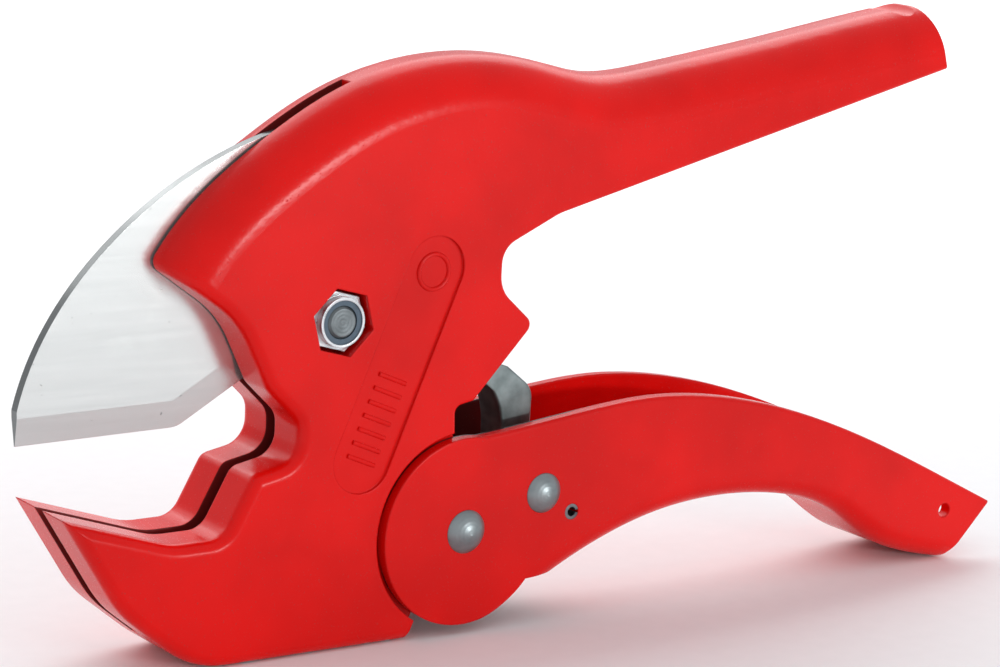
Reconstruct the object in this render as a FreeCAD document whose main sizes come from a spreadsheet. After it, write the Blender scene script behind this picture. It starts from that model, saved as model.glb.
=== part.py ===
import FreeCAD, Part
import math
import os
import Sketcher

# Ratchet cutter for plastic pipe, in millimetres. Every outline is drawn about the blade pivot:
# X runs back towards the handles, Z up, Y across. Placement carries that drawing into the part's
# frame, whose origin is on the ground under the middle of the tool.

doc = FreeCAD.newDocument("pipe_cutter")
sheet = doc.addObject("Spreadsheet::Sheet", "Sizes")

SIZES = [
    ("pivot_x", 50.2, "blade pivot, distance in front of the frame's origin"),
    ("pivot_z", 60.2, "blade pivot, height above the ground"),
    ("body_wide", 21.0, "thickness of the casting"),
    ("handle_reach", 138.4, "blade pivot to the end of the upper handle"),
    ("jaw_reach", 53.3, "blade pivot to the point of the jaw"),
    ("top_round", 8.8, "rounding along the top of head and handle"),
    ("edge_round", 2.2, "rounding along the jaw and belly"),
    ("slot_wide", 3.0, "slot the blade swings in"),
    ("channel_wide", 9.0, "channel the pawl works in"),
    ("wall", 2.5, "wall of the handle and of the lever"),
    ("blade_thick", 2.0, "blade plate"),
    ("blade_reach", 58.6, "blade pivot to the front of the blade"),
    ("teeth_tip", 31.0, "radius over the ratchet teeth"),
    ("teeth_deep", 2.2, "depth of the ratchet teeth"),
    ("teeth_step", 7.5, "degrees from tooth to tooth"),
    ("lever_x", 27.8, "lever pivot behind the blade pivot"),
    ("lever_z", -40.7, "lever pivot above the blade pivot"),
    ("lever_reach", 131.2, "lever pivot to the tip of the lever"),
    ("lobe_round", 17.6, "radius of the lever's round lobes"),
    ("lobe_gap", 1.1, "gap between a lobe and the step around it"),
    ("cheek_gap", 0.3, "clearance between a lever cheek and the casting"),
    ("lever_over", 1.0, "how far a lever cheek stands out past the casting"),
    ("pawl_x", 44.9, "pawl pivot behind the blade pivot"),
    ("pawl_z", -35.2, "pawl pivot above the blade pivot"),
    ("pawl_thick", 7.0, "pawl"),
    ("pawl_gap", 0.35, "clearance between the pawl's nose and the teeth"),
    ("anchor_x", 51.6, "spring pin behind the blade pivot"),
    ("anchor_z", -39.5, "spring pin above the blade pivot"),
    ("anchor_round", 1.5, "radius of the spring pin"),
    ("main_round", 3.0, "radius of the lever rivet"),
    ("small_round", 2.5, "radius of the pawl rivet"),
    ("bolt_round", 3.0, "radius of the pivot bolt"),
    ("run_gap", 0.05, "running clearance of a pin in its hole, on the radius"),
    ("seat_gap", 0.02, "clearance of a pin driven into its hole, on the radius"),
    ("nut_flats", 10.0, "pivot nut across its flats"),
    ("nut_room", 0.6, "room between the nut and its pocket, each side"),
    ("nut_deep", 6.0, "depth of the nut pocket"),
    ("head_round", 5.25, "radius of the bolt head"),
    ("head_deep", 3.6, "depth of the bolt head's seat"),
    ("panel_round", 6.0, "half width of the name panel"),
    ("panel_deep", 0.6, "depth of the name panel"),
    ("hole_round", 1.5, "hole at the lever's tip"),
]
for row, (alias, value, remark) in enumerate(SIZES, start=1):
    sheet.set(f"A{row}", remark)
    sheet.set(f"B{row}", str(value))
    sheet.setAlias(f"B{row}", alias)
doc.recompute()

g = {alias: float(sheet.get(alias)) for alias, _, _ in SIZES}
half = g["body_wide"] / 2
cheek_out = half + g["lever_over"]
cheek_in = cheek_out - g["wall"]
L = (g["lever_x"], g["lever_z"])
Q = (g["pawl_x"], g["pawl_z"])
S = (g["anchor_x"], g["anchor_z"])
CHEEK_OUT = "(Sizes.body_wide / 2 + Sizes.lever_over)"
CHEEK_IN = f"({CHEEK_OUT} - Sizes.wall)"
LUG_HALF = f"({CHEEK_IN} - Sizes.cheek_gap)"


# ---------------------------------------------------------------- drawing helpers

def polar(radius, degrees, centre=(0.0, 0.0)):
    turn = math.radians(degrees)
    return (centre[0] + radius * math.cos(turn), centre[1] + radius * math.sin(turn))


def flat(point):
    return FreeCAD.Vector(point[0], point[1], 0)


def outline(start, *steps):
    """Stretches laid end to end, from start and back to it.

    line: straight to each point. arc: through one point to the next. curve: one smooth curve
    through all the points. corners: straight runs to (x, z, r), each corner rounded by its r.
    """
    here = start
    edges = []
    for kind, *points in steps:
        if kind == "arc":
            edges.append(Part.Arc(flat(here), flat(points[0]), flat(points[1])))
        elif kind == "curve":
            curve = Part.BSplineCurve()
            curve.interpolate([flat(point) for point in (here, *points)])
            edges.append(curve)
        elif kind == "line":
            for first, last in zip((here, *points), points):
                edges.append(Part.LineSegment(flat(first), flat(last)))
        elif kind == "corners":
            edges += rounded(here, points)
        here = points[-1][:2]
    if math.dist(here, start) > 1e-6:
        edges.append(Part.LineSegment(flat(here), flat(start)))
    return edges


def rounded(start, corners):
    """Straight runs from start over each (x, z, r), with an arc of radius r at each corner."""
    edges = []
    here = flat(start)
    for (x, z, radius), after in zip(corners, [*corners[1:], None]):
        corner = flat((x, z))
        if not radius or after is None:
            edges.append(Part.LineSegment(here, corner))
            here = corner
            continue
        into = (corner - here).normalize()
        out = (flat(after) - corner).normalize()
        turn = into.getAngle(out)
        back = radius * math.tan(turn / 2)
        inward = (out - into).normalize()
        first = corner - into * back
        last = corner + out * back
        middle = corner + inward * (radius / math.cos(turn / 2) - radius)
        edges.append(Part.LineSegment(here, first))
        edges.append(Part.Arc(first, middle, last))
        here = last
    return edges


def offset_line(points, distance):
    """The same run of points, moved sideways (left of the way they run is positive)."""
    moved = []
    for i, (x, z) in enumerate(points):
        before = points[max(i - 1, 0)]
        after = points[min(i + 1, len(points) - 1)]
        run = math.dist(before, after)
        along = ((after[0] - before[0]) / run, (after[1] - before[1]) / run)
        moved.append((x - along[1] * distance, z + along[0] * distance))
    return moved


def new_body(label, at=None):
    """A body whose frame lies on the blade pivot, or on the axis named by two aliases."""
    body = doc.addObject("PartDesign::Body", label)
    body.Label = label
    place(body, at)
    return body


def place(thing, at=None):
    more_x, more_z = (f" + Sizes.{at}_x", f" + Sizes.{at}_z") if at else ("", "")
    thing.setExpression("Placement.Base.x", "-Sizes.pivot_x" + more_x)
    thing.setExpression("Placement.Base.z", "Sizes.pivot_z" + more_z)


def sketch(body, edges, plane="XZ_Plane", lift=None):
    """Edges drawn on one of the body's planes; lift moves an XZ sketch towards the near side."""
    drawn = body.newObject("Sketcher::SketchObject", "Sketch")
    origin = [f for f in body.Origin.OriginFeatures if f.Role == plane][0]
    drawn.AttachmentSupport = [(origin, "")]
    drawn.MapMode = "FlatFace"
    if lift:
        drawn.setExpression("AttachmentOffset.Base.z", lift)
    drawn.addGeometry(edges, False)
    return drawn


def circle(drawn, centre, radius, radius_text, centre_text=None):
    """A circle held by its radius and, off the frame's axis, by the two lengths to its centre."""
    index = drawn.addGeometry(Part.Circle(flat(centre), FreeCAD.Vector(0, 0, 1), radius), False)
    if centre_text is None:
        drawn.addConstraint(Sketcher.Constraint("Coincident", index, 3, -1, 1))
    else:
        for kind, text in zip(("DistanceX", "DistanceY"), centre_text):
            value = centre[0] if kind == "DistanceX" else centre[1]
            held = drawn.addConstraint(Sketcher.Constraint(kind, -1, 1, index, 3, value))
            drawn.setExpression(f"Constraints[{held}]", text)
    held = drawn.addConstraint(Sketcher.Constraint("Radius", index, radius))
    drawn.setExpression(f"Constraints[{held}]", radius_text)
    return index


def volume(body):
    doc.recompute()
    return body.Shape.Volume


def grow(body, drawn, length, symmetric=True, reverse=False):
    pad = body.newObject("PartDesign::Pad", "Pad")
    pad.Profile = drawn
    pad.SideType = "Symmetric" if symmetric else "One side"
    pad.Reversed = reverse
    pad.setExpression("Length", length)
    drawn.Visibility = False
    doc.recompute()
    return pad


def cut(body, drawn, length, symmetric=True, reverse=False):
    before = volume(body)
    pocket = body.newObject("PartDesign::Pocket", "Pocket")
    pocket.Profile = drawn
    pocket.SideType = "Symmetric" if symmetric else "One side"
    pocket.Reversed = reverse
    pocket.setExpression("Length", length)
    if not volume(body) < before - 0.01:
        raise RuntimeError(f"a pocket in {body.Label} removed nothing")
    return pocket


def turned(body, edges):
    """Edges drawn with X as radius and Y along the axis, turned once round the Y axis."""
    drawn = sketch(body, edges, "XY_Plane")
    turn = body.newObject("PartDesign::Revolution", "Revolution")
    turn.Profile = drawn
    turn.ReferenceAxis = (drawn, ["V_Axis"])
    turn.Angle = 360
    doc.recompute()
    return turn


def edge_names(shape, wanted):
    """Names of the edges whose middle point passes the test."""
    names = []
    for number, edge in enumerate(shape.Edges, start=1):
        middle = edge.valueAt((edge.FirstParameter + edge.LastParameter) / 2)
        if wanted(middle, edge):
            names.append(f"Edge{number}")
    return names


def soften(body, radius_text, wanted):
    base = body.Tip
    names = edge_names(base.Shape, wanted)
    if not names:
        raise RuntimeError(f"no edge to round on {body.Label}")
    rounding = body.newObject("PartDesign::Fillet", "Fillet")
    rounding.Base = (base, names)
    rounding.setExpression("Radius", radius_text)
    if not 0.9 < volume(body) / base.Shape.Volume < 1.02:
        raise RuntimeError(f"a rounding on {body.Label} went wrong")
    return rounding


def near(point, x, z, reach):
    return math.dist((point.x, point.z), (x, z)) < reach


# ---------------------------------------------------------------- body casting
# One red casting: jaw, head and upper handle. It is drawn as a plate, rounded, then slotted for
# the blade, channelled for the pawl and hollowed from below along the handle.

end_x = g["handle_reach"]
tip_x = -g["jaw_reach"]
TOP = [
    (-34.2, 10.9), (-26.9, 20.4), (-13.6, 31.0), (2.8, 40.3), (18.1, 44.7), (31.0, 45.6),
    (42.8, 44.2), (58.0, 41.1), (73.7, 42.3), (105.8, 47.5), (end_x - 3.4, 52.4),
]
lug = math.dist(L, Q) - 5.9
body = new_body("body_casting")
plate = sketch(body, outline(
    TOP[0],
    ("curve", *TOP[1:]),
    ("corners",
     (end_x, 40.8, 0),
     # underside of the handle, hollow of the palm, and the beak over the pawl
     (46.0, 16.9, 12.0), (33.7, 11.2, 4.5), (33.7, 3.6, 6.0), (41.4, -3.2, 1.8),
     # sloped rear edge, and the notch above the lobes
     (28.9, -16.6, 0.8), (24.9, -17.4, 1.6), (25.2, -22.4, 2.0), (29.6, L[1] + lug, 0),
     # round lug inside the lever
     (L[0] + lug, L[1] + lug, lug - 0.05), (L[0] + lug, L[1] - lug, lug - 0.05),
     (19.6, L[1] - lug, 0), (16.4, -60.2, 0),
     # belly, and the lower jaw up to its point
     (-27.0, -60.2, 18.0), (-42.0, -48.3, 20.0), (tip_x, -30.4, 0),
     # cradle for the pipe: lower seat, bump, upper seat
     (-32.0, -37.1, 14.0), (-22.3, -37.0, 4.5), (-16.5, -26.3, 2.6), (-7.7, -24.5, 4.6),
     (-7.8, -17.4, 4.0), (-14.4, -11.0, 4.0), (-20.4, 1.2, 20.0), (*TOP[0], 0)),
))
grow(body, plate, "Sizes.body_wide")
soften(body, "Sizes.top_round",
       lambda p, e: abs(abs(p.y) - half) < 0.01 and p.z > 35 and e.Length > 100)


def on_side(point):
    return abs(abs(point.y) - half) < 0.01


soften(body, "Sizes.edge_round", lambda p, e: on_side(p) and p.z < 12
       and (p.x < -7 or (p.x < 16.3 and p.z < -50)))
soften(body, "0.8", lambda p, e: on_side(p) and p.x > 24.5 and -24.7 < p.z < 42)

# Blade slot, open along the front, under the jaw and over the head; behind the pivot it follows
# the swing of the toothed tail.
slot = sketch(body, outline(
    (-90.0, 70.0),
    ("line", (5.0, 70.0), (5.0, 37.2)),
    ("arc", polar(37.5, 68), polar(37.5, 47)),
    ("line", polar(34.0, 24)),
    ("line", polar(g["teeth_tip"] + 1.2, 15)),
    ("arc", polar(g["teeth_tip"] + 1.2, -45), polar(g["teeth_tip"] + 1.2, -102)),
    ("line", (-28.0, -46.5), (-33.5, -54.5), (-35.0, -75.0), (-90.0, -75.0)),
))
cut(body, slot, "Sizes.slot_wide")

# Pawl channel, open to the rear, with a round bay for the lever spring.
channel = sketch(body, outline(
    (75.0, 6.4),
    ("line", (28.8, 6.4)),
    ("arc", polar(g["teeth_tip"] - 1.5, -12), polar(g["teeth_tip"] - 1.5, -36)),
    ("line", (18.6, -40.7)),
    ("arc", polar(9.2, -135, L), polar(9.2, -90, L)),
    ("line", (75.0, L[1] - 9.2)),
))
cut(body, channel, "Sizes.channel_wide")

# Round steps that let the lever's lobes lie over the lug, one on each side. The lever's upper
# edge meets the rear end of its step after 26 degrees, and that stops it.
step_deep = f"Sizes.body_wide / 2 - {LUG_HALF} + 1"
for side, back in (("", False), ("-", True)):
    step = sketch(body, [], lift=f"{side}(Sizes.body_wide / 2 + 1)")
    circle(step, L, g["lobe_round"] + g["lobe_gap"], "Sizes.lobe_round + Sizes.lobe_gap",
           ("Sizes.lever_x", "Sizes.lever_z"))
    cut(body, step, step_deep, symmetric=False, reverse=back)

# Holes for the lever rivet and the blade bolt.
bores = sketch(body, [])
circle(bores, L, g["main_round"] + g["run_gap"], "Sizes.main_round + Sizes.run_gap",
       ("Sizes.lever_x", "Sizes.lever_z"))
circle(bores, (0, 0), g["bolt_round"] + g["run_gap"], "Sizes.bolt_round + Sizes.run_gap")
cut(body, bores, "Sizes.body_wide + 2")

# Six-sided pocket for the nut on the near side, round seat for the bolt head on the far side.
pocket_flats = g["nut_flats"] + 2 * g["nut_room"]
corners = [polar(pocket_flats / math.sqrt(3), 45 + 60 * i) for i in range(6)]
hexagon = sketch(body, outline(corners[0], ("line", *corners[1:])), lift="Sizes.body_wide / 2")
cut(body, hexagon, "Sizes.nut_deep", symmetric=False)
seat = sketch(body, [], lift="-Sizes.body_wide / 2")
circle(seat, (0, 0), g["head_round"] + 0.4, "Sizes.head_round + 0.4")
cut(body, seat, "Sizes.head_deep + 0.4", symmetric=False, reverse=True)

# Ring-shaped bay in the far wall of the slot for the blade spring, with a groove for its leg.
bay = sketch(body, [], lift="-Sizes.slot_wide / 2 + 0.2")
circle(bay, (0, 0), 5.4, "5.4")
circle(bay, (0, 0), 8.0, "8.0")
cut(body, bay, "3.4 + 0.2", symmetric=False, reverse=False)
groove = sketch(body, outline((-5.6, -1.0), ("line", (-5.6, 12.0), (-7.6, 12.0), (-7.6, -1.0))),
                lift="-Sizes.slot_wide / 2 + 0.2")
cut(body, groove, "3.4 + 0.2", symmetric=False, reverse=False)

# Handle hollow: the top stays, the underside is open.
ROOF = offset_line(TOP[7:], -3.2)
hollow = sketch(body, outline(
    (64.0, 10.0),
    ("line", (64.0, ROOF[0][1] - 8.0)),
    ("curve", (66.0, ROOF[0][1] - 2.0), (73.0, ROOF[1][1] - 0.5), *ROOF[2:-1],
     (end_x + 1.0, ROOF[-1][1] + 0.8)),
    ("line", (end_x + 1.0, 10.0)),
))
cut(body, hollow, "Sizes.body_wide - 2 * Sizes.wall")
soften(body, "Sizes.top_round - 3.3", lambda p, e: abs(abs(p.y) - half + g["wall"]) < 0.01
       and p.x > 75 and p.z > 36 and e.Length > 50)

# Shallow panel with round ends on both sides of the head, and a catch groove over the handle end.
upper, lower = (19.1, 8.4), (5.2, -25.5)
lean = math.degrees(math.atan2(upper[1] - lower[1], upper[0] - lower[0]))
wide = g["panel_round"]
panel_edges = outline(
    polar(wide, lean - 90, upper),
    ("arc", polar(wide, lean, upper), polar(wide, lean + 90, upper)),
    ("line", polar(wide, lean + 90, lower)),
    ("arc", polar(wide, lean + 180, lower), polar(wide, lean - 90, lower)),
)
for side, back in (("", False), ("-", True)):
    panel = sketch(body, panel_edges, lift=f"{side}Sizes.body_wide / 2")
    cut(body, panel, "Sizes.panel_deep", symmetric=False, reverse=back)
catch = sketch(body, [])
circle(catch, (end_x - 7.4, 55.4), 4.5, "4.5", ("Sizes.handle_reach - 7.4", "55.4"))
cut(body, catch, "Sizes.body_wide + 2")

# ---------------------------------------------------------------- blade
# Flat steel plate: hooked cutting end, round hub on the pivot bolt, ratchet teeth on the tail.

def ratchet(first, count):
    """Saw teeth from first (degrees) upwards: steep below, sloping above."""
    tip, root = g["teeth_tip"], g["teeth_tip"] - g["teeth_deep"]
    points = []
    for i in range(count):
        start = first + i * g["teeth_step"]
        points += [polar(root, start), polar(tip, start + 0.6), polar(tip, start + 1.5)]
    return points + [polar(root + 0.4, first + count * g["teeth_step"])]


front_x = -g["blade_reach"]
blade = new_body("blade")
teeth = ratchet(-54.0, 11)
plate = sketch(blade, outline(
    (front_x + 0.5, -19.1),
    ("corners", (-27.0, -18.5, 5.0), (-12.0, -9.8, 0)),
    ("curve", (-5.0, -10.2), (3.0, -14.0), (9.0, -20.5), teeth[0]),
    ("line", *teeth[1:]),
    ("arc", polar(g["teeth_tip"] - 0.8, 46), polar(g["teeth_tip"] - 0.4, 62)),
    ("curve", (2.0, 33.4), (-7.5, 33.2), (-16.3, 30.6), (-28.0, 24.9), (-39.3, 16.7),
     (-50.2, 4.8), (front_x + 0.3, -12.9)),
))
grow(blade, plate, "Sizes.blade_thick")
holes = sketch(blade, [])
circle(holes, (0, 0), g["bolt_round"] + g["run_gap"], "Sizes.bolt_round + Sizes.run_gap")
circle(holes, (1.65, -6.6), 0.9, "0.9", ("1.65", "-6.6"))
cut(blade, holes, "Sizes.blade_thick + 2")
# The cutting edge is ground from both faces, along the long straight run and along the heel.
thin = 0.12
face = g["blade_thick"] / 2
for ends, rise in ((((front_x - 2.0, -19.15), (-26.0, -18.48)), 5.0),
                   (((-28.5, -19.37), (-10.5, -8.93)), 5.8)):
    for side in (-1, 1):
        sections = []
        for x, z in ends:
            drawn = sketch(blade, outline(
                (side * thin, z - 1.0),
                ("line", (side * thin, z), (side * face, z + rise), (side * (face + 0.4), z + rise),
                 (side * (face + 0.4), z - 1.0)),
            ), "YZ_Plane")
            drawn.AttachmentOffset = FreeCAD.Placement(FreeCAD.Vector(0, 0, x), FreeCAD.Rotation())
            sections.append(drawn)
        before = volume(blade)
        bevel = blade.newObject("PartDesign::SubtractiveLoft", "Bevel")
        bevel.Profile = sections[0]
        bevel.Sections = [sections[1]]
        bevel.Ruled = True
        if not volume(blade) < before - 1:
            raise RuntimeError("a bevel of the blade removed nothing")

# ---------------------------------------------------------------- lever
# Red pressed channel, open at the top: two cheeks that end in round lobes over the lug, a web
# along the bottom, rounded lower corners and a slanting cut at the tip.

reach = L[0] + g["lever_reach"]
UNDER = [
    (reach - 11.3, -60.2), (reach - 17.3, -58.9), (129.7, -54.5), (119.2, -47.4), (103.6, -42.3),
    (88.5, -41.2), (74.3, -42.6), (61.0, -46.4), (50.5, -51.0),
]
OVER = [
    (40.2, -22.2), (55.0, -20.4), (69.0, -19.3), (88.2, -21.0), (109.9, -26.8), (reach - 16.2, -41.0),
    (reach, -48.9),
]
lobe = g["lobe_round"]
lever = new_body("lever")
plate = sketch(lever, outline(
    polar(lobe, 82, L),
    ("curve", *OVER),
    ("line", (reach - 9.6, -58.9)),
    ("curve", (reach - 10.3, -59.8), UNDER[0]),
    ("curve", *UNDER[1:]),
    ("line", polar(lobe, -37, L)),
    ("arc", polar(lobe, -160, L), polar(lobe, 82, L)),
))
grow(lever, plate, f"2 * {CHEEK_OUT}")
soften(lever, "4.2", lambda p, e: abs(abs(p.y) - cheek_out) < 0.01 and p.z < -38 and p.x > 60
       and e.Length > 60)
FLOOR = offset_line(UNDER, -g["wall"])
inside = sketch(lever, outline(
    (reach + 8.0, FLOOR[0][1] - 2.0),
    ("curve", FLOOR[0], *FLOOR[1:]),
    ("line", (FLOOR[-1][0] - 0.2, -54.0), (45.5, -70.0), (0.0, -70.0), (0.0, 0.0),
     (reach + 8.0, 0.0)),
))
cut(lever, inside, f"2 * {CHEEK_IN}")
soften(lever, "0.7", lambda p, e: abs(abs(p.y) - cheek_out) < 0.01 and e.Length > 131)
bores = sketch(lever, [])
circle(bores, L, g["main_round"] + g["seat_gap"], "Sizes.main_round + Sizes.seat_gap",
       ("Sizes.lever_x", "Sizes.lever_z"))
circle(bores, Q, g["small_round"] + g["seat_gap"], "Sizes.small_round + Sizes.seat_gap",
       ("Sizes.pawl_x", "Sizes.pawl_z"))
circle(bores, S, g["anchor_round"] + g["seat_gap"], "Sizes.anchor_round + Sizes.seat_gap",
       ("Sizes.anchor_x", "Sizes.anchor_z"))
circle(bores, (reach - 12.4, -49.6), g["hole_round"], "Sizes.hole_round",
       ("Sizes.lever_x + Sizes.lever_reach - 12.4", "-49.6"))
cut(lever, bores, f"2 * {CHEEK_OUT} + 2")

# ---------------------------------------------------------------- pawl
# Thick steel strut on the pawl rivet; its nose reaches forward to the teeth of the blade.

nose_angle = -17.0
nose = polar(g["teeth_tip"] + g["pawl_gap"], nose_angle)
pawl = new_body("pawl")
plate = sketch(pawl, outline(
    nose,
    ("line", (41.2, -12.7), (45.4, -16.0)),
    ("curve", (46.6, -17.6), (46.9, -19.6)),
    ("line", (46.9, -27.5)),
    ("curve", (48.4, -30.3), polar(5.2, 20, Q)),
    ("arc", polar(5.2, -90, Q), polar(5.2, 165, Q)),
    ("curve", (40.2, -28.0), (40.2, -24.0), (37.3, -16.4)),
    ("line", (nose[0] + 0.5, nose[1] - 1.8)),
))
grow(pawl, plate, "Sizes.pawl_thick")
hole = sketch(pawl, [])
circle(hole, Q, g["small_round"] + g["run_gap"], "Sizes.small_round + Sizes.run_gap",
       ("Sizes.pawl_x", "Sizes.pawl_z"))
cut(pawl, hole, "Sizes.pawl_thick + 2")
soften(pawl, "0.5", lambda p, e: abs(abs(p.y) - g["pawl_thick"] / 2) < 0.01 and p.x > 36
       and e.Length > 5.5 and not near(p, *Q, 4.0))

# ---------------------------------------------------------------- rivets
# Solid rivets with a dome on each side, turned round their own axis.

def rivet(label, at, radius_alias, head, rise):
    shank = g[radius_alias]
    made = new_body(label, at)
    length = cheek_out
    ball = (head ** 2 + rise ** 2) / (2 * rise)
    across, up = polar(ball, 90 - math.degrees(math.asin(head / ball)) / 2)
    up += length + rise - ball
    turned(made, outline(
        (0.0, -length - rise),
        ("arc", (across, -up), (head, -length)),
        ("line", (shank, -length), (shank, length), (head, length)),
        ("arc", (across, up), (0.0, length + rise)),
    ))
    return made


rivet("lever_rivet", "lever", "main_round", 4.1, 2.0)
rivet("pawl_rivet", "pawl", "small_round", 3.8, 1.8)


def ring(label, at, inner, outer, spans):
    """Plain rings round one axis: each span runs from one Y to another."""
    made = new_body(label, at)
    for low, high in spans:
        turned(made, outline((inner, low), ("line", (outer, low), (outer, high), (inner, high))))
    return made


def rings(label, at, inner, outer, spans):
    """Loose rings kept in one file."""
    group = []
    for low, high in spans:
        tube = Part.makeCylinder(outer, high - low).cut(Part.makeCylinder(inner, high - low))
        tube.rotate(FreeCAD.Vector(0, 0, 0), FreeCAD.Vector(1, 0, 0), -90)
        tube.translate(FreeCAD.Vector(0, low, 0))
        group.append(tube)
    made = doc.addObject("Part::Feature", label)
    made.Label = label
    made.Shape = Part.makeCompound(group)
    place(made, at)
    return made


# Steel sleeve that keeps the two plates of the lug apart and carries the lever spring.
lug_gap = g["channel_wide"] / 2
ring("lever_sleeve", "lever", g["main_round"] + g["run_gap"], 4.5, [(-lug_gap, lug_gap)])

# Short tubes that hold the pawl in the middle of the lever.
pawl_half = g["pawl_thick"] / 2
rings("pawl_spacers", "pawl", g["small_round"] + g["run_gap"], 3.8,
      [(-cheek_in, -pawl_half - 0.1), (pawl_half + 0.1, cheek_in)])

# Thin washers each side of the blade.
slot_half = g["slot_wide"] / 2
blade_half = g["blade_thick"] / 2
rings("blade_washers", None, g["bolt_round"] + 0.1, 5.0,
      [(-slot_half, -blade_half - 0.05), (blade_half + 0.05, slot_half)])

# Split spring pin between the lever's cheeks, behind the pawl rivet.
pin = new_body("spring_pin", "anchor")
wall_pin = 0.6
inner_pin = g["anchor_round"] - wall_pin
gap_turn = 14.0
profile = sketch(pin, outline(
    polar(g["anchor_round"], gap_turn),
    ("arc", polar(g["anchor_round"], 180), polar(g["anchor_round"], -gap_turn)),
    ("line", polar(inner_pin, -gap_turn)),
    ("arc", polar(inner_pin, 180), polar(inner_pin, gap_turn)),
))
grow(pin, profile, f"2 * {CHEEK_OUT}")

# ---------------------------------------------------------------- pivot bolt and nut
bolt_end = half - 0.2
head_low = half - g["head_deep"] - 0.4
bolt = new_body("pivot_bolt")
turned(bolt, outline(
    (0.0, -bolt_end),
    ("line", (g["bolt_round"] - 0.5, -bolt_end), (g["bolt_round"], -bolt_end + 0.5),
     (g["bolt_round"], head_low), (g["head_round"], head_low),
     (g["head_round"], head_low + 1.2)),
    ("arc", (g["head_round"] * 0.80, head_low + 2.8), (g["head_round"] * 0.42, half - 0.3)),
    ("line", (0.0, half - 0.3)),
))
socket = sketch(bolt, outline(polar(2.3, 0), ("line", *[polar(2.3, 60 * i) for i in range(1, 6)])),
                lift="-(Sizes.body_wide / 2 - 0.3)")
cut(bolt, socket, "2.0", symmetric=False, reverse=True)

nut = new_body("pivot_nut")
flats = [polar(g["nut_flats"] / math.sqrt(3), 45 + 60 * i) for i in range(6)]
hexagon = sketch(nut, outline(flats[0], ("line", *flats[1:])),
                 lift="Sizes.body_wide / 2 - Sizes.nut_deep")
grow(nut, hexagon, "4.2", symmetric=False)
collar = sketch(nut, [], lift="Sizes.body_wide / 2 - Sizes.nut_deep + 4.2")
circle(collar, (0, 0), 4.5, "4.5")
grow(nut, collar, "1.6", symmetric=False)
bore = sketch(nut, [])
circle(bore, (0, 0), g["bolt_round"] + g["seat_gap"], "Sizes.bolt_round + Sizes.seat_gap")
cut(nut, bore, "Sizes.body_wide + 2")
recess = sketch(nut, [], lift="Sizes.body_wide / 2")
circle(recess, (0, 0), 4.0, "4.0")
cut(nut, recess, "2.0", symmetric=False)
ring("nut_lock_ring", None, g["bolt_round"] + g["seat_gap"], 3.98,
     [(-half + 0.5, -half + 2.0)])


# ---------------------------------------------------------------- springs
# Round wire wound about a pivot. The coil is drawn along local Z and laid on the Y axis.

def torsion_spring(label, at, wire, radius, pitch, start, end, legs, lift):
    """start and end are the angles where the legs leave the coil; legs are the points after it."""
    height = pitch * (end - start) / 360
    coil = Part.makeHelix(pitch, height, radius)
    coil.rotate(FreeCAD.Vector(0, 0, 0), FreeCAD.Vector(0, 0, 1), start)
    rise = pitch / (2 * math.pi * radius)

    def point(turn, level):
        x, y = polar(radius, turn)
        return FreeCAD.Vector(x, y, level)

    def along(turn):
        way = math.radians(turn)
        return FreeCAD.Vector(-math.sin(way), math.cos(way), rise).normalize()

    first, last = point(start, 0), point(end, height)
    before = first - along(start) * legs[0]
    after = last + along(end) * legs[1]
    path = [Part.makeLine(before, first)] if legs[0] else []
    path += coil.Edges
    if legs[1]:
        path.append(Part.makeLine(last, after))
    if legs[2]:
        bend = 1.3 * wire
        side = FreeCAD.Vector(0, 0, legs[2] / abs(legs[2]))
        way = along(end)
        turn_end = after + (way + side) * bend
        middle = after + way * bend * math.sin(math.pi / 4) + side * bend * (1 - math.cos(math.pi / 4))
        path.append(Part.Arc(after, middle, turn_end).toShape())
        path.append(Part.makeLine(turn_end, turn_end + side * (abs(legs[2]) - bend)))
    spine = Part.Wire(path)
    begin = before if legs[0] else first
    section = Part.Wire(Part.makeCircle(wire / 2, begin, along(start)))
    solid = spine.makePipeShell([section], True, True)
    solid.rotate(FreeCAD.Vector(0, 0, 0), FreeCAD.Vector(1, 0, 0), 90)
    solid.translate(FreeCAD.Vector(0, lift, 0))
    made = doc.addObject("Part::Feature", label)
    made.Label = label
    made.Shape = solid
    place(made, at)
    return made


# Lever spring: one leg bears on the casting, the other pushes the lever's web down.
torsion_spring("lever_spring", "lever", 1.4, 5.9, 1.52, 180, 180 + 90 + 4 * 360,
               (9.6, 24.0, 0), lug_gap - 1.27)
# Pawl spring: one leg lies on the spring pin, the other hooks behind the pawl.
torsion_spring("pawl_spring", "pawl", 1.0, 4.9, 1.08, 35.9, 10 + 3 * 360,
               (9.5, 11.5, cheek_in - pawl_half), cheek_in - 0.9)
# Blade spring: coiled in its ring-shaped bay, one end hooked into the blade.
torsion_spring("blade_spring", None, 1.1, 6.6, 1.18, 180, 270 + 360, (10.0, 0.2, 3.3),
               slot_half + 2.44)

# ---------------------------------------------------------------- checks and files
doc.recompute()
os.makedirs("parts", exist_ok=True)
for thing in doc.Objects:
    if "Invalid" in thing.State or "Error" in thing.State:
        raise RuntimeError(f"{thing.Label} is in error")
nodes = [o for o in doc.Objects if o.TypeId in ("PartDesign::Body", "Part::Feature")]
for node in nodes:
    shape = node.Shape
    if shape.isNull() or not shape.isValid() or not shape.Solids:
        raise RuntimeError(f"{node.Label} has no sound solid")
    shape.exportStep(f"parts/{node.Label}.step")
    print(f"{node.Label}: {len(shape.Solids)} solid(s), {shape.Volume:.1f} mm3")
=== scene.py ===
import bmesh
import bpy
import math
from mathutils import Matrix, Vector


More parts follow.
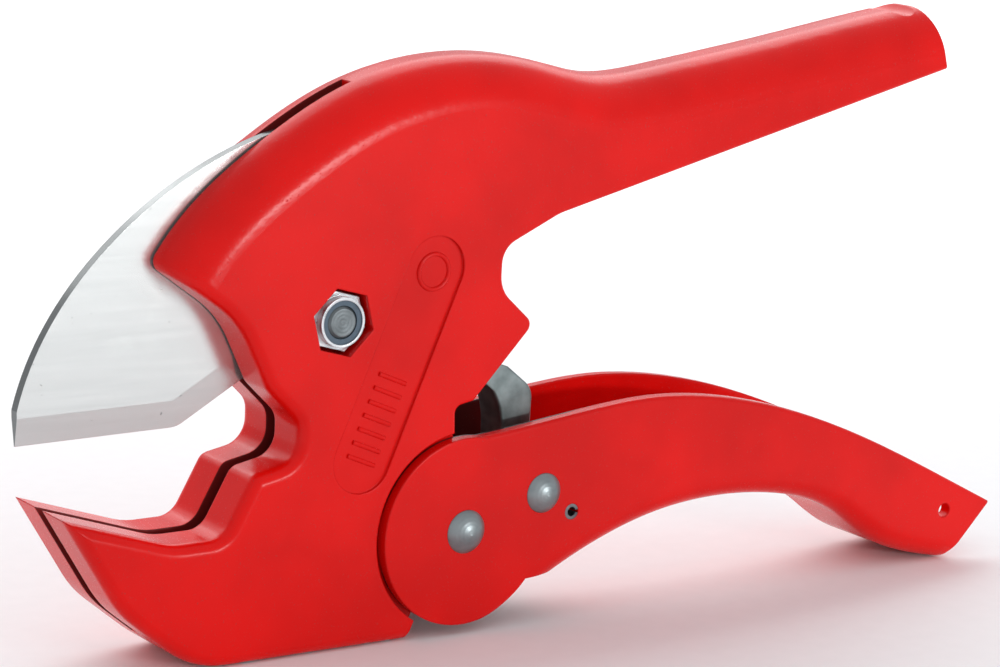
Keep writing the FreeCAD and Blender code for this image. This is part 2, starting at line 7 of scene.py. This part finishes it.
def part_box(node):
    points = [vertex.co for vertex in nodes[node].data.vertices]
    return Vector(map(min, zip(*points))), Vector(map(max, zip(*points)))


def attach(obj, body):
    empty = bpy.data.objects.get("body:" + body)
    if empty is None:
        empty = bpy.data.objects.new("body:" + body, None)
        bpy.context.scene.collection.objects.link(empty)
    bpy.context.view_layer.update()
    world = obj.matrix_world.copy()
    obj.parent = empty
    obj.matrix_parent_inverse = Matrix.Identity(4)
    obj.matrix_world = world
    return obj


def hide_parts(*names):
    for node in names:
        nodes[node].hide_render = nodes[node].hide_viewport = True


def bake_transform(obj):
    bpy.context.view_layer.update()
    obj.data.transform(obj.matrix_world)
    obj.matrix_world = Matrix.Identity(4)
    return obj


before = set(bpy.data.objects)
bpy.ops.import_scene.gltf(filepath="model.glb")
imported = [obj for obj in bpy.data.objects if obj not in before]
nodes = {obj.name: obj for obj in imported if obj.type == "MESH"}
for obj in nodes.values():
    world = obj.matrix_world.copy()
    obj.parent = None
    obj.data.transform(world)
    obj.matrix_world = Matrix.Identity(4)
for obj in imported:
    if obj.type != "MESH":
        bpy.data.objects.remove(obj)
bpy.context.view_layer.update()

# ---------------------------------------------------------------- camera
# Long lens in front of the jaw and a little above the tool, rolled by a few degrees. The three
# unit vectors are the camera's own axes in the frame.
right = Vector((0.8174, -0.5736, 0.0543))
up = Vector((0.0741, 0.1982, 0.9775))
back = Vector((-0.5714, -0.7948, 0.2045))
lens_data = bpy.data.cameras.new("camera")
lens_data.lens = 116.64
lens_data.sensor_width = 36.0
lens_data.clip_start = 0.01
camera = bpy.data.objects.new("camera", lens_data)
bpy.context.scene.collection.objects.link(camera)
camera.matrix_world = Matrix((
    (right.x, up.x, back.x, -0.3518),
    (right.y, up.y, back.y, -0.4769),
    (right.z, up.z, back.z, 0.1758),
    (0.0, 0.0, 0.0, 1.0),
))
bpy.context.scene.camera = camera

# ---------------------------------------------------------------- studio
# Pale card under a white tent. A small low strip in front draws the light band on the head,
# a weak soft box lifts the back, and a large one lights the card behind the tool.
bpy.context.scene.view_settings.view_transform = "Standard"
tent = bpy.data.worlds.new("tent")
tent.use_nodes = True
tent.node_tree.nodes["Background"].inputs["Color"].default_value = (0.96, 0.97, 1.0, 1.0)
tent.node_tree.nodes["Background"].inputs["Strength"].default_value = 0.70
bpy.context.scene.world = tent


def soft_box(name, place, target, size, power):
    """Rectangular soft box at a place, facing the target."""
    lamp = bpy.data.lights.new(name, "AREA")
    lamp.shape = "RECTANGLE"
    lamp.size, lamp.size_y = size
    lamp.energy = power
    box = bpy.data.objects.new(name, lamp)
    bpy.context.scene.collection.objects.link(box)
    box.location = place
    box.rotation_euler = (Vector(target) - Vector(place)).to_track_quat("-Z", "Y").to_euler()


soft_box("key_strip", (0.233, -0.754, 0.133), (-0.055, -0.010, 0.085), (0.20, 0.05), 1.7)
soft_box("back_box", (-0.25, 0.55, 0.45), (0.0, 0.0, 0.05), (0.60, 0.25), 0.8)
soft_box("sweep_box", (0.70, 1.05, 0.90), (0.70, 1.10, 0.0), (1.80, 1.40), 16.0)


# ---------------------------------------------------------------- body casting
# Zinc casting in one piece, jaw, head and handle. It is cleaned up and dipped or sprayed in
# a thick gloss red enamel, which keeps a little orange peel and the casting's fine pits.

class Field:
    """A value that varies over a surface. Sums and products of fields add Math nodes."""

    def __init__(self, finish, socket):
        self.finish = finish
        self.socket = socket

    def math(self, operation, first, second):
        return self.finish.node("Math", {0: first, 1: second}, operation=operation)

    def __add__(self, other):
        return self.math("ADD", self, other)

    def __sub__(self, other):
        return self.math("SUBTRACT", self, other)

    def __rsub__(self, other):
        return self.math("SUBTRACT", other, self)

    def __mul__(self, other):
        return self.math("MULTIPLY", self, other)

    __radd__ = __add__
    __rmul__ = __mul__

    def root(self):
        return self.math("POWER", self, 0.5)

    def between(self, low, high):
        """0 below low, 1 above high, and smooth from one to the other."""
        return self.finish.node(
            "MapRange", {"Value": self, "From Min": low, "From Max": high},
            interpolation_type="SMOOTHSTEP",
        )


class Finish:
    """One material. Every node in it comes from the method node."""

    def __init__(self, name):
        self.material = bpy.data.materials.new(name)
        self.material.use_nodes = True
        self.tree = self.material.node_tree
        self.tree.nodes.clear()

    def node(self, kind, sockets, out=0, **settings):
        made = self.tree.nodes.new("ShaderNode" + kind)
        for name, value in settings.items():
            setattr(made, name, value)
        for name, value in sockets.items():
            if isinstance(value, Field):
                self.tree.links.new(value.socket, made.inputs[name])
            else:
                made.inputs[name].default_value = value
        return Field(self, made.outputs[out]) if made.outputs else None

    def place(self, stretch=(1.0, 1.0, 1.0), turn=(0.0, 0.0, 0.0)):
        """Object coordinates, turned about the axes and then stretched."""
        here = self.node("TexCoord", {}, out=3)
        return self.node("Mapping", {"Vector": here, "Rotation": turn, "Scale": stretch})

    def noise(self, size, detail=2.0, roughness=0.5, stretch=(1.0, 1.0, 1.0), turn=(0.0, 0.0, 0.0)):
        """Cloudy noise whose patches are about size metres across."""
        return self.node("TexNoise", {"Vector": self.place(stretch, turn), "Scale": 1.0 / size,
                                      "Detail": detail, "Roughness": roughness})

    def axes(self):
        """Object coordinates as three fields, x, y and z."""
        here = self.place()
        return [self.node("SeparateXYZ", {0: here}, out=axis) for axis in range(3)]

    def sideways(self):
        """1 where the surface faces to either side of the tool, 0 on its rims and floors."""
        facing = self.node("TexCoord", {}, out=1)
        across = self.node("SeparateXYZ", {0: facing}, out=1)
        return (across * across).between(0.10, 0.30)

    def radius(self, centre):
        """Distance from an axis that runs across the tool through centre (x, z)."""
        x, _, z = self.axes()
        return ((x - centre[0]) * (x - centre[0]) + (z - centre[1]) * (z - centre[1])).root()

    def mix(self, factor, first, second):
        return self.node("Mix", {0: factor, 6: first, 7: second}, out=2, data_type="RGBA")

    def bump(self, height, depth, strength=1.0, normal=None):
        sockets = {"Height": height, "Distance": depth, "Strength": strength}
        if normal is not None:
            sockets["Normal"] = normal
        return self.node("Bump", sockets)

    def done(self, colour, roughness, metallic, normal, **constants):
        """Closes the material. Constants are set straight on the shader's own sockets."""
        sockets = {"Base Color": colour, "Roughness": roughness, "Metallic": metallic, "Normal": normal}
        sockets.update({name.replace("_", " "): value for name, value in constants.items()})
        shader = self.node("BsdfPrincipled", sockets)
        self.node("OutputMaterial", {"Surface": shader})
        return self.material


def dress(material, *names):
    """Puts one material on every slot of these CAD nodes."""
    for name in names:
        for held in nodes[name].material_slots:
            held.material = material


PIT_RED, BARE_METAL = (0.30, 0.01, 0.01, 1.0), (0.42, 0.42, 0.43, 1.0)
# Painted shade for the room round the pawl, and painted shade with some old oil for the walls of the blade's
# slot.
POCKET_SHADE, SLOT_SHADE_AND_OIL = (0.022, 0.016, 0.015, 1.0), (0.030, 0.016, 0.015, 1.0)


def enamel(name, tone, peel_depth, edge, pocket_half, pocket_x, pocket_top):
    """Gloss red enamel over metal: soft edges, orange peel, pits and thin rubbed patches.

    The room round the pawl is painted dark as shade. It is given by its half width, its first and last x
    and its top. The side walls of the blade's slot are darkened as well: painted shade, with some old oil.
    """
    cloud_size, peel_size, pit_size, rub_size = 0.030, 0.0011, 0.00038, 0.0024
    coat = Finish(name)
    cloud = coat.noise(cloud_size, 3.0, 0.55)
    peel = coat.noise(peel_size, 2.0)
    pit = coat.noise(pit_size, 1.0).between(0.66, 0.78)
    x, y, z = coat.axes()
    underside = z.between(0.0006, 0.0001)
    rubbed = underside * coat.noise(rub_size, 4.0, 0.65).between(0.50, 0.62)
    rim = coat.node("Bevel", {"Radius": edge}, samples=6)
    deeper_tone = tuple(0.80 * part for part in tone[:3]) + (1.0,)
    paint = coat.mix(cloud.between(0.30, 0.70), deeper_tone, tone)
    paint = coat.mix(pit * 0.35, paint, PIT_RED)
    paint = coat.mix(rubbed, paint, BARE_METAL)
    # Painted shade: the room round the pawl is darkened nearly to black.
    pocket_shade = (y * y).between(pocket_half ** 2, (pocket_half - 0.0002) ** 2)
    pocket_shade = pocket_shade * z.between(pocket_top, pocket_top - 0.001)
    pocket_shade = pocket_shade * x.between(pocket_x[0], pocket_x[0] + 0.002)
    pocket_shade = pocket_shade * x.between(pocket_x[1], pocket_x[1] - 0.004)
    paint = coat.mix(pocket_shade * 0.88, paint, POCKET_SHADE)
    # Painted shade with some old oil: the side walls of the blade's slot are darkened.
    slot_wall, past_wall = 0.00155, 0.00180
    slot_shade_and_oil = (y * y).between(past_wall ** 2, slot_wall ** 2) * coat.sideways()
    paint = coat.mix(slot_shade_and_oil * 0.80, paint, SLOT_SHADE_AND_OIL)
    shape = coat.bump(peel * 0.7 + cloud * 0.3 - pit * 0.4, peel_depth, 0.55, rim)
    gloss = 0.19 + cloud * 0.08 + pit * 0.20 + rubbed * 0.15
    return coat.done(paint, gloss, rubbed * 0.8, shape, Specular_IOR_Level=0.20)


CASTING_RED = (0.800, 0.0045, 0.0030, 1.0)
# The last three numbers give the casting's room round the pawl, which is painted dark as shade.
casting_enamel = enamel("casting_enamel", CASTING_RED, peel_depth=0.00006, edge=0.0004,
                        pocket_half=0.0048, pocket_x=(-0.036, 0.030), pocket_top=0.0665)
dress(casting_enamel, "body_casting")

# ---------------------------------------------------------------- panel marks
# Plain raised ring and ribs in the long panel on each side of the head. They are cast with the
# body and painted with it, and carry no lettering.


def middle_of(name):
    """Middle (x, z) of a piece's box. It is the axis of a turned piece, but not of a spring."""
    low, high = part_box(name)
    return ((low.x + high.x) / 2, (low.z + high.z) / 2)


hub = middle_of("pivot_nut")
low_step, high_step = (0.0052, -0.0255), (0.0191, 0.0084)
panel_low = (hub[0] + low_step[0], hub[1] + low_step[1])
panel_high = (hub[0] + high_step[0], hub[1] + high_step[1])
panel_run = math.dist(panel_low, panel_high)
panel_lean = math.atan2(panel_high[1] - panel_low[1], panel_high[0] - panel_low[0])
panel_depth = 0.0006
panel_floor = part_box("body_casting")[1].y - panel_depth

tree = bpy.data.node_groups.new("panel_marks", "GeometryNodeTree")
entry = {}
for label, kind in (("Ring radius", "NodeSocketFloat"), ("Bead", "NodeSocketFloat"),
                    ("Rib length", "NodeSocketFloat"), ("Rib step", "NodeSocketFloat"),
                    ("Ring place", "NodeSocketFloat"), ("Floor", "NodeSocketFloat"),
                    ("Ribs", "NodeSocketInt"), ("Enamel", "NodeSocketMaterial")):
    entry[label] = tree.interface.new_socket(label, in_out="INPUT", socket_type=kind).identifier
tree.interface.new_socket("Geometry", in_out="OUTPUT", socket_type="NodeSocketGeometry")
given = tree.nodes.new("NodeGroupInput")


def geo(kind, links, **settings):
    """One geometry node with its settings, then its links or values by input name."""
    made = tree.nodes.new(kind)
    for name, value in settings.items():
        setattr(made, name, value)
    for name, value in links.items():
        if isinstance(value, bpy.types.NodeSocket):
            tree.links.new(value, made.inputs[name])
        else:
            made.inputs[name].default_value = value
    return made.outputs[0]


bead = geo("GeometryNodeCurvePrimitiveCircle", {"Resolution": 12, "Radius": given.outputs["Bead"]})
ring = geo("GeometryNodeCurvePrimitiveCircle", {"Resolution": 48, "Radius": given.outputs["Ring radius"]})
ring = geo("GeometryNodeCurveToMesh", {"Curve": ring, "Profile Curve": bead})
ring_at = geo("ShaderNodeCombineXYZ", {"X": given.outputs["Ring place"]})
ring = geo("GeometryNodeTransform", {"Geometry": ring, "Translation": ring_at})
half_rib = geo("ShaderNodeMath", {0: given.outputs["Rib length"], 1: 0.5}, operation="MULTIPLY")
other_half = geo("ShaderNodeMath", {0: half_rib, 1: -1.0}, operation="MULTIPLY")
rib = geo("GeometryNodeCurvePrimitiveLine", {
    "Start": geo("ShaderNodeCombineXYZ", {"Y": other_half}),
    "End": geo("ShaderNodeCombineXYZ", {"Y": half_rib})})
rib = geo("GeometryNodeCurveToMesh", {"Curve": rib, "Profile Curve": bead, "Fill Caps": True})
row = geo("GeometryNodeMeshLine", {
    "Count": given.outputs["Ribs"],
    "Offset": geo("ShaderNodeCombineXYZ", {"X": given.outputs["Rib step"]})})
ribs = geo("GeometryNodeInstanceOnPoints", {"Points": row, "Instance": rib})
join = tree.nodes.new("GeometryNodeJoinGeometry")
tree.links.new(ring, join.inputs[0])
tree.links.new(ribs, join.inputs[0])
far_floor = geo("ShaderNodeMath", {0: given.outputs["Floor"], 1: -1.0}, operation="MULTIPLY")
both = tree.nodes.new("GeometryNodeJoinGeometry")
for level in (given.outputs["Floor"], far_floor):
    lifted = geo("GeometryNodeTransform", {
        "Geometry": join.outputs[0], "Translation": geo("ShaderNodeCombineXYZ", {"Z": level})})
    tree.links.new(lifted, both.inputs[0])
real = geo("GeometryNodeRealizeInstances", {"Geometry": both.outputs[0]})
painted = geo("GeometryNodeSetMaterial", {"Geometry": real, "Material": given.outputs["Enamel"]})
tree.links.new(painted, tree.nodes.new("NodeGroupOutput").inputs[0])

seed = bpy.data.objects.new("panel_marks_seed", bpy.data.meshes.new("panel_marks_seed"))
bpy.context.scene.collection.objects.link(seed)
maker = seed.modifiers.new("marks", "NODES")
maker.node_group = tree
ring_inset = 0.0006
for label, value in (("Ring radius", 0.0032), ("Bead", 0.00042), ("Rib length", 0.0062),
                     ("Rib step", 0.0026), ("Ring place", panel_run - ring_inset),
                     ("Floor", panel_floor), ("Ribs", 7), ("Enamel", casting_enamel)):
    maker[entry[label]] = value
seed.update_tag()
bpy.context.view_layer.update()
shape = bpy.data.meshes.new_from_object(seed.evaluated_get(bpy.context.evaluated_depsgraph_get()))
bpy.data.objects.remove(seed)
cos, sin = math.cos(panel_lean), math.sin(panel_lean)
shape.transform(Matrix((
    (cos, -sin, 0.0, panel_low[0]),
    (0.0, 0.0, -1.0, 0.0),
    (sin, cos, 0.0, panel_low[1]),
    (0.0, 0.0, 0.0, 1.0),
)))
shape.shade_smooth()
marks = bpy.data.objects.new("panel_marks", shape)
bpy.context.scene.collection.objects.link(marks)
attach(marks, "casting")

# ---------------------------------------------------------------- lever
# Sheet steel pressed to a channel, deburred and enamelled in the same red. The sheet is smoother
# than the casting, so its peel is shallower and its edges are softer.
LEVER_RED = (0.790, 0.0042, 0.0028, 1.0)
# The last three numbers give the room inside the channel by the pawl, which is painted dark as shade.
lever_enamel = enamel("lever_enamel", LEVER_RED, peel_depth=0.00004, edge=0.0006,
                      pocket_half=0.0096, pocket_x=(-0.040, 0.004), pocket_top=0.060)
dress(lever_enamel, "lever")

# ---------------------------------------------------------------- blade
# Hardened steel plate, surface ground along its length. The bevels are ground across, and a thin film of oil
# has left faint stains. The rim, every face that does not face to the side, is painted dark as shade.
grind = Finish("ground_blade")
GROUND_DARK, GROUND_LIGHT = (0.66, 0.685, 0.675, 1.0), (0.77, 0.79, 0.78, 1.0)
OIL_STAIN, SPECK, RIM_SHADE = (0.52, 0.56, 0.53, 1.0), (0.20, 0.20, 0.20, 1.0), (0.16, 0.17, 0.17, 1.0)
along = (0.0, math.radians(32), 0.0)
lines = grind.noise(0.0016, 4.0, 0.6, stretch=(0.06, 1.0, 1.6), turn=along)
hair = grind.noise(0.0005, 2.0, 0.5, stretch=(0.04, 1.0, 1.0), turn=along)
stain = grind.noise(0.011, 4.0, 0.6).between(0.52, 0.74)
speck = grind.noise(0.0009, 1.0).between(0.75, 0.80)
steel = grind.mix(lines, GROUND_DARK, GROUND_LIGHT)
steel = grind.mix(stain * 0.16, steel, OIL_STAIN)
steel = grind.mix(speck * 0.6, steel, SPECK)
# Painted shade: every face that does not face to the side is darkened, so the rims read dark.
steel = grind.mix(grind.sideways(), RIM_SHADE, steel)
grind_rim = grind.node("Bevel", {"Radius": 0.00012}, samples=4)
furrows = grind.bump(lines * 0.6 + hair * 0.4, 0.00002, 0.5, grind_rim)
dress(grind.done(steel, 0.17 + lines * 0.07 + stain * 0.08, 0.80, furrows), "blade")


# ---------------------------------------------------------------- rivets and pin
# Plain steel rivets, headed cold so that each dome keeps faint rings about its axis, and
# a rolled spring pin.

def plain_steel(name, light, dark, gloss, centre=None, edge=0.0002):
    """Bare steel: blotches, fine scratches and, about an axis, the rings of a tool.

    ring_turn is in radians a metre, which puts a ring every 0.7 mm.
    """
    metal = Finish(name)
    blotch_size, scratch_size = 0.0034, 0.00040
    ring_turn = 9000.0
    blotch = metal.noise(blotch_size, 3.0, 0.5)
    scratch = metal.noise(scratch_size, 2.0, 0.5, stretch=(1.0, 0.15, 1.0))
    height = blotch * 0.4 + scratch * 0.6
    if centre is not None:
        turns = metal.radius(centre) * ring_turn
        ring_wave = metal.node("Math", {0: turns}, operation="SINE")
        height = height + ring_wave * 0.25
    tint = metal.mix(blotch.between(0.20, 0.80), dark, light)
    soft = metal.node("Bevel", {"Radius": edge}, samples=4)
    return metal.done(tint, gloss + blotch * 0.16, 0.9, metal.bump(height, 0.00004, 0.5, soft))


GREY, DULL = (0.31, 0.35, 0.36, 1.0), (0.21, 0.245, 0.255, 1.0)
for rivet in ("lever_rivet", "pawl_rivet"):
    dress(plain_steel(rivet + "_steel", GREY, DULL, 0.30, middle_of(rivet)), rivet)
dress(plain_steel("pin_steel", (0.26, 0.27, 0.28, 1.0), (0.10, 0.10, 0.11, 1.0), 0.36), "spring_pin")

# ---------------------------------------------------------------- pawl
# Thick steel strut, hardened and blackened in oil, that turns on its own rivet in the lever.
# Handling has polished its corners.
dress(plain_steel("blackened_pawl", (0.27, 0.325, 0.325, 1.0), (0.15, 0.185, 0.185, 1.0), 0.32,
                  edge=0.0004), "pawl")

# ---------------------------------------------------------------- blade pivot
# Zinc-plated locking nut on the cut end of the bolt that the blade turns on. The nylon ring is
# pressed into the nut's collar.
dress(plain_steel("nut_zinc", (0.78, 0.80, 0.82, 1.0), (0.50, 0.52, 0.54, 1.0), 0.20, hub), "pivot_nut")
dress(plain_steel("bolt_zinc", (0.20, 0.225, 0.235, 1.0), (0.11, 0.125, 0.13, 1.0), 0.30, hub), "pivot_bolt")
nylon = Finish("lock_ring_nylon")
grain = nylon.noise(0.0007, 3.0)
DARK_BLUE, BLUE = (0.05, 0.08, 0.11, 1.0), (0.09, 0.14, 0.19, 1.0)
blue_nylon = nylon.mix(grain, DARK_BLUE, BLUE)
dress(nylon.done(blue_nylon, 0.45 + grain * 0.15, 0.0, nylon.bump(grain, 0.00003, 0.5)), "nut_lock_ring")

# ---------------------------------------------------------------- springs
# Torsion springs of drawn wire, each with one end on either of two pieces. Each coil is welded into one
# smooth mesh that takes the place of its CAD node; the two y values in its row are not used here. The blade
# spring still cuts into the casting at both limits of the blade.
cut_end = math.radians(50)
wire = plain_steel("drawn_wire", (0.50, 0.51, 0.52, 1.0), (0.27, 0.28, 0.29, 1.0), 0.26)
for name, held, moved, held_y, moved_y in (
        ("lever_spring", "casting", "lever", 0.0025, -0.0025),
        ("pawl_spring", "lever", "pawl", 0.0075, 0.0056),
        ("blade_spring", "casting", "blade", 0.0047, 0.0014)):
    weld = bmesh.new()
    weld.from_mesh(nodes[name].data)
    bmesh.ops.remove_doubles(weld, verts=weld.verts, dist=1e-6)
    coil = bpy.data.meshes.new(name + "_wire")
    weld.to_mesh(coil)
    weld.free()
    if "custom_normal" in coil.attributes:
        coil.attributes.remove(coil.attributes["custom_normal"])
    coil.shade_smooth()
    coil.set_sharp_from_angle(angle=cut_end)
    coil.materials.clear()
    coil.materials.append(wire)
    spring = bpy.data.objects.new(name + "_wire", coil)
    bpy.context.scene.collection.objects.link(spring)
    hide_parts(name)
    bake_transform(spring)

# ---------------------------------------------------------------- sleeve, spacers and washers
# Turned sleeve and short tubes of the pivots, and the thin washers that keep the blade in the
# middle of its slot. All bare steel, held by the pins that pass through them.
dress(plain_steel("turned_steel", (0.55, 0.56, 0.57, 1.0), (0.32, 0.33, 0.34, 1.0), 0.28),
      "lever_sleeve", "pawl_spacers", "blade_washers")

# ---------------------------------------------------------------- floor
# Pale matt card, just under the belly and the lever's tip. It lies a tenth of a millimetre low,
# so that it never shares a plane with the casting.
card = Finish("pale_card")
fibre = card.noise(0.004, 3.0)
card_white = card.mix(fibre, (0.86, 0.86, 0.865, 1.0), (0.90, 0.90, 0.905, 1.0))
card.done(card_white, 0.85, 0.0, card.bump(fibre, 0.00005, 0.2))
reach, drop = 3.0, 0.0001
corners = [(-reach, -reach, 0), (reach, -reach, 0), (reach, reach, 0), (-reach, reach, 0)]
floor_mesh = bpy.data.meshes.new("floor")
floor_mesh.from_pydata(corners, [], [(0, 1, 2, 3)])
floor_mesh.materials.append(card.material)
floor = bpy.data.objects.new("floor", floor_mesh)
floor.location = (0.0, 0.0, -drop)
bpy.context.scene.collection.objects.link(floor)
